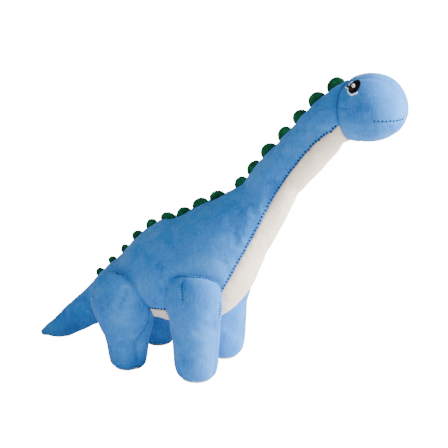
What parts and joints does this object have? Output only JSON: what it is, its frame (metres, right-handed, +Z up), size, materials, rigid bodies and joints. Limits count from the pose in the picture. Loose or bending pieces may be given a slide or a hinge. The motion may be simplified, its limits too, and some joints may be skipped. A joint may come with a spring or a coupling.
{
  "type": "stuffed dinosaur",
  "caption": "Standing long-necked plush dinosaur: blue velour sides, cream underside, green back plates, embroidered eyes, soft joints at neck, head, tail and legs.",
  "frame": {"origin": "middle of the footprint of the whole toy's box, on the surface it stands on", "axes": "+X towards the head, +Y to the animal's left, +Z up"},
  "size_m": [0.4024, 0.1242, 0.3315],
  "materials": {
    "blue_velour": "short-pile plush",
    "cream_velour": "short-pile plush",
    "green_velour": "short-pile plush",
    "polyester_filling": "loose fibre",
    "black_thread": "satin-stitch embroidery",
    "white_thread": "satin-stitch embroidery",
    "navy_thread": "sewing thread"
  },
  "bodies": {
    "torso": {"torso_panel_right": "blue_velour", "torso_panel_left": "blue_velour", "belly_panel": "cream_velour", "torso_stuffing": "polyester_filling", "back_plate_01": "green_velour", "back_plate_02": "green_velour", "back_plate_03": "green_velour", "back_plate_04": "green_velour", "back_plate_05": "green_velour", "back_plate_06": "green_velour", "back_plate_07": "green_velour", "back_plate_08": "green_velour", "back_plate_09": "green_velour"},
    "neck": {"neck_panel_right": "blue_velour", "neck_panel_left": "blue_velour", "throat_panel": "cream_velour", "neck_stuffing": "polyester_filling", "back_plate_10": "green_velour", "back_plate_11": "green_velour", "back_plate_12": "green_velour", "back_plate_13": "green_velour", "back_plate_14": "green_velour", "back_plate_15": "green_velour", "back_plate_16": "green_velour"},
    "head": {"cheek_panel_right": "blue_velour", "cheek_panel_left": "blue_velour", "crown_gusset": "blue_velour", "chin_panel": "blue_velour", "head_stuffing": "polyester_filling", "eye_right": "black_thread", "eye_left": "black_thread", "eye_glint_right": "white_thread", "eye_glint_left": "white_thread", "mouth_stitching": "navy_thread"},
    "tail": {"tail_panel_right": "blue_velour", "tail_panel_left": "blue_velour", "tail_stuffing": "polyester_filling"},
    "front_right_leg": {"front_right_leg_outer_panel": "blue_velour", "front_right_leg_inner_panel": "blue_velour", "front_right_leg_sole": "cream_velour", "front_right_leg_stuffing": "polyester_filling"},
    "front_left_leg": {"front_left_leg_outer_panel": "blue_velour", "front_left_leg_inner_panel": "blue_velour", "front_left_leg_sole": "cream_velour", "front_left_leg_stuffing": "polyester_filling"},
    "hind_right_leg": {"hind_right_leg_outer_panel": "blue_velour", "hind_right_leg_inner_panel": "blue_velour", "hind_right_leg_sole": "cream_velour", "hind_right_leg_stuffing": "polyester_filling"},
    "hind_left_leg": {"hind_left_leg_outer_panel": "blue_velour", "hind_left_leg_inner_panel": "blue_velour", "hind_left_leg_sole": "cream_velour", "hind_left_leg_stuffing": "polyester_filling"}
  },
  "joints": [
    {"name": "neck_bend", "type": "hinge", "parent": "torso", "child": "neck", "pos_m": [0.045, 0, 0.1725], "axis": [0, 1, 0], "range_deg": [-15, 20], "stiffness_Nm_per_rad": 2.5},
    {"name": "head_nod", "type": "hinge", "parent": "neck", "child": "head", "pos_m": [0.136, 0, 0.29], "axis": [0, 1, 0], "range_deg": [-5, 15], "stiffness_Nm_per_rad": 1.5},
    {"name": "tail_lift", "type": "hinge", "parent": "torso", "child": "tail", "pos_m": [-0.133, 0, 0.047], "axis": [0, 1, 0], "range_deg": [0, 30], "stiffness_Nm_per_rad": 0.6},
    {"name": "front_right_leg_swing", "type": "hinge", "parent": "torso", "child": "front_right_leg", "pos_m": [-0.004, -0.036, 0.07], "axis": [0, 1, 0], "range_deg": [-15, 15], "stiffness_Nm_per_rad": 1.5},
    {"name": "front_left_leg_swing", "type": "hinge", "parent": "torso", "child": "front_left_leg", "pos_m": [-0.004, 0.036, 0.07], "axis": [0, 1, 0], "range_deg": [-15, 15], "stiffness_Nm_per_rad": 1.5},
    {"name": "hind_right_leg_swing", "type": "hinge", "parent": "torso", "child": "hind_right_leg", "pos_m": [-0.083, -0.038, 0.062], "axis": [0, 1, 0], "range_deg": [-15, 15], "stiffness_Nm_per_rad": 1.5},
    {"name": "hind_left_leg_swing", "type": "hinge", "parent": "torso", "child": "hind_left_leg", "pos_m": [-0.083, 0.038, 0.062], "axis": [0, 1, 0], "range_deg": [-15, 15], "stiffness_Nm_per_rad": 1.5}
  ]
}
